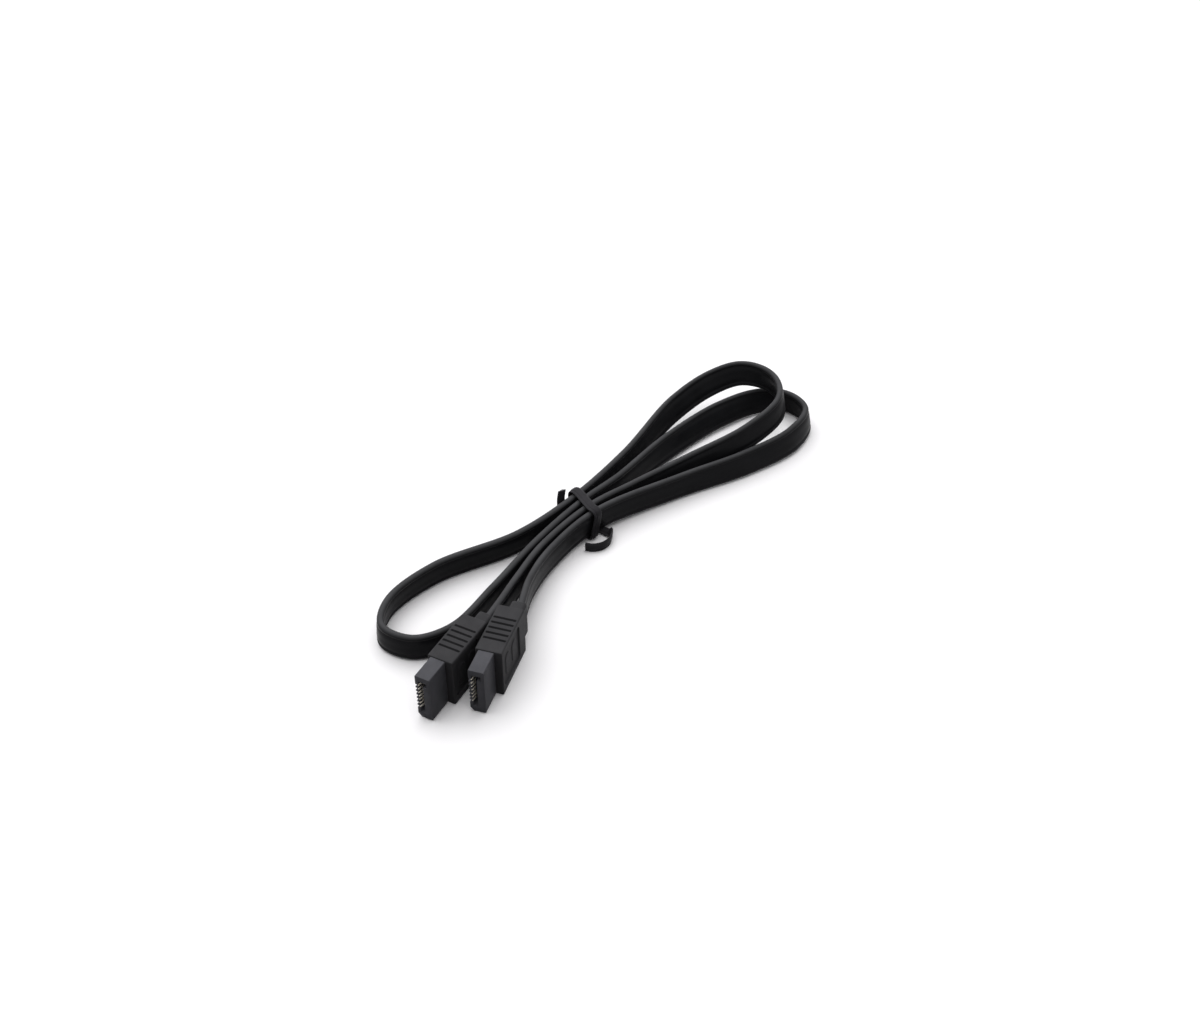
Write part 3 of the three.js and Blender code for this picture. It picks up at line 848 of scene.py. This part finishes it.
# The strip's middle line from the cut end behind, twice round the strands, to the hook in
# front: a place and the way that the strip's width points there
def tieRoute():
    sizes = tieSizes
    outer = (sizes["strands"] - 1) / 2 * sizes["pitch"]
    reach = outer + leadSizes["thickness"] / 2 + sizes["gap"] + sizes["crown"] / 2
    rise = leadSizes["width"] / 2 + sizes["gap"] + sizes["crown"] / 2
    low, high, bend = sizes["middle"] - rise, sizes["middle"] + rise, sizes["bend"]
    rolled = sizes["hookRise"]

    # One rounded corner of the wrap
    def turn(x, side, level, start):
        y = side * (reach - bend)
        z = high - bend if level > 0 else low + bend
        stops = [(0, -sizes["straight"]), (0, 0), (0.5, 0), (1, 0), (1, sizes["straight"])]
        rows = []
        for part, run in stops:
            angle = start - part * math.pi / 2
            rows.append((x, y + bend * math.cos(angle) + run * math.sin(angle),
                         z + bend * math.sin(angle) - run * math.cos(angle), 1, 0, 0))
        return rows

    return [
        (-1.9, reach + 0.9, high + 0.5, 1, 0, 0.2), (-2.6, reach + 0.7, high - 2, 1, 0, 0.2),
        (-2.9, reach + 0.2, low + 3.4, 1, 0, 0.1),
        *turn(-2.8, 1, -1, 0), *turn(-2.4, -1, -1, -math.pi / 2), *turn(-1.2, -1, 1, math.pi),
        *turn(1.3, 1, 1, math.pi / 2), *turn(1.6, 1, -1, 0),
        (1.8, -reach + bend, low + 0.08, 1, 0, 0), (1.9, -reach - 0.8, low + 0.35, 1, 0, 0.2),
        (1.7, -reach - 2.1, low + 1.05, 0.7, 0.1, 0.9), (0.7, -reach - 3.5, low + rolled, 0.15, 0, 1),
        (-1.4, -reach - 4.6, low + rolled, 0, 0, 1), (-4.2, -reach - 4.6, low + rolled, 0, 0, 1),
        (-6.6, -reach - 3.2, low + rolled, 0, 0, 1), (-7.9, -reach - 1.2, low + rolled, 0, 0, 1),
    ]


# The strip's section, rounded from its corner points
def tieOutline():
    sizes = tieSizes
    half = sizes["width"] / 2
    upper = [
        (half, sizes["edge"] / 2), (0.6 * half, sizes["crown"] / 2), (-0.27 * half, sizes["crown"] / 2),
        (-0.53 * half, sizes["groove"] / 2), (-0.73 * half, sizes["bead"] / 2), (-half, sizes["edge"] / 2),
    ]
    lower = [(x, -y) for x, y in reversed(upper)]
    return [(x * mm, y * mm) for x, y in roundCorners(upper + lower, 0.09, 3)]


def makeTie(stripMaterial, wireMaterial):
    matrix = tieMatrix()
    rows = tieRoute()
    line, counts = smoothLine([row[:3] for row in rows], tieSizes["perSpan"])
    sides = []
    for tangent, count in zip(tangentsOf(line), counts):
        index = min(int(count), len(rows) - 2)
        part = count - index
        side = Vector(rows[index][3:]).normalized().lerp(Vector(rows[index + 1][3:]).normalized(), part)
        sides.append(squareTo(side, tangent))
    turned = matrix.to_3x3().normalized()
    placed = [matrix @ p for p in line]
    strip = sweepPiece("tieStrip", placed, [turned @ s for s in sides], tieOutline(), sweep, stripMaterial)
    tangents = tangentsOf(line)
    rear = makeWire("tieWireRear", matrix, line[0], -tangents[0], wireMaterial)
    front = makeWire("tieWireFront", matrix, line[-1], tangents[-1], wireMaterial)
    return strip, rear, front


# A cut end of the wire, with its rim rounded
def makeWire(name, matrix, place, outward, material):
    sizes = tieSizes
    radius = sizes["wireDiameter"] / 2
    turn = outward.to_track_quat("X", "Z").to_matrix()
    rim, proud = sizes["wireRim"], sizes["wireProud"]
    rings = []
    for x, r in [(-sizes["wireInside"], radius), (proud - rim, radius), (proud, radius - rim)]:
        circle = [Vector((x, r * math.cos(a), r * math.sin(a)))
                  for a in np.linspace(0, 2 * math.pi, 20, endpoint=False)]
        rings.append([place + turn @ p for p in circle])
    mesh = skinRings(name, rings)
    return finishPiece(name, placeMesh(mesh, matrix), material)


# Floor and light

stageLook = {
    "size": 8, "drop": 0.04 * mm, "floor": (0.97, 0.96, 0.975, 1), "floorBounce": (0.12, 0.12, 0.125, 1),
    "white": (1, 1, 1, 1), "brightSide": (0.12, 0.3, 0.94),
    "stops": [(0.35, 0.017), (0.65, 0.26), (0.9, 1.2)],
    "lampFrom": (0.05, 0.5, 1.2), "lampPower": 1.2, "lampAngle": 60,
}


# 1 where the camera, gloss or glass sees the plain white, 0 for the light on the cable
def seenDirectly(kit):
    camera, glossy, clear = (
        kit.node("ShaderNodeLightPath", out=ray)
        for ray in ("Is Camera Ray", "Is Glossy Ray", "Is Transmission Ray")
    )
    return camera + glossy + clear


# A pale floor that throws little light back on the cable's sides
def makeFloor():
    half = stageLook["size"] / 2
    corners = [(-half, -half), (half, -half), (half, half), (-half, half)]
    mesh = meshFrom("paleFloor", [(x, y, -stageLook["drop"]) for x, y in corners], [(0, 1, 2, 3)])
    material, kit = newFinish("paleFloor")
    colour = kit.mixColour(seenDirectly(kit), stageLook["floorBounce"], stageLook["floor"])
    closeFinish(kit, {"Base Color": colour, "Roughness": 0.9, "Specular IOR Level": 0.1})
    mesh.materials.append(material)
    floor = link(bpy.data.objects.new("paleFloor", mesh))


# A dome that is bright behind and above the cable and dark in front, with one broad
# lamp on the bright side
def lightStage():
    world = bpy.data.worlds.new("studio")
    bpy.context.scene.world = world
    world.use_nodes = True
    world.node_tree.nodes.clear()
    kit = NodeKit(world.node_tree)
    direction = kit.node("ShaderNodeTexCoord", out=0)
    bright = Vector(stageLook["brightSide"]).normalized()
    facing = kit.node("ShaderNodeVectorMath", {"operation": "DOT_PRODUCT"}, {0: direction, 1: bright}, out=1)
    level = kit.ramp(facing * 0.5 + 0.5, stageLook["stops"])
    colour = kit.mixColour(seenDirectly(kit), level, stageLook["white"])
    background = kit.node("ShaderNodeBackground", None, {"Color": colour, "Strength": 1.0})
    kit.node("ShaderNodeOutputWorld", None, {"Surface": background})
    lamp = bpy.data.lights.new("softLamp", "SUN")
    lamp.energy = stageLook["lampPower"]
    lamp.angle = math.radians(stageLook["lampAngle"])
    sun = link(bpy.data.objects.new("softLamp", lamp))
    sun.rotation_euler = (-Vector(stageLook["lampFrom"])).to_track_quat("-Z", "Y").to_euler()
    bpy.context.scene.view_settings.view_transform = "Standard"


# Puts a piece on the root body and hides the solids that it stands for
def claim(piece, slot, *nodes):
    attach(piece, "root")
    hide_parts(*nodes)


lead, leadLine, leadLength = makeLead(jacketPvc())
claim(lead, "jacket", "cable_lead")
print("lead", round(leadLength, 4), "m")

shellPlastic = mouldedPlastic("shellPlastic", shellLook)
insertPlastic = mouldedPlastic("insertPlastic", insertLook)
contactMetal = platedContact()
channels, contactRow = channelTree(), contactTree()
for letter in "AB":
    node = "plug_" + letter.lower()
    mesh = placeMesh(shellMesh(letter), plugMatrix(letter))
    shell = finishPiece("plugShell" + letter, mesh, shellPlastic)
    claim(shell, "plug_plastic", node + "_shell")
    insert = makeInsert(letter, channels, insertPlastic)
    claim(insert, "insert_plastic", node + "_insert")
    contacts = makeContacts(letter, contactRow, contactMetal)
    claim(contacts, "contact_metal", *[f"{node}_contact_{i + 1}" for i in range(contactSizes["count"])])
print("plugs")

strip, wireRear, wireFront = makeTie(mouldedPlastic("tiePlastic", tieLook), cutWire())
claim(strip, "tie_plastic", "twist_tie_strip")
claim(wireRear, "tie_wire", "twist_tie_wire_rear")
claim(wireFront, "tie_wire", "twist_tie_wire_front")
print("twist tie")

makeFloor()
lightStage()
print("stage")
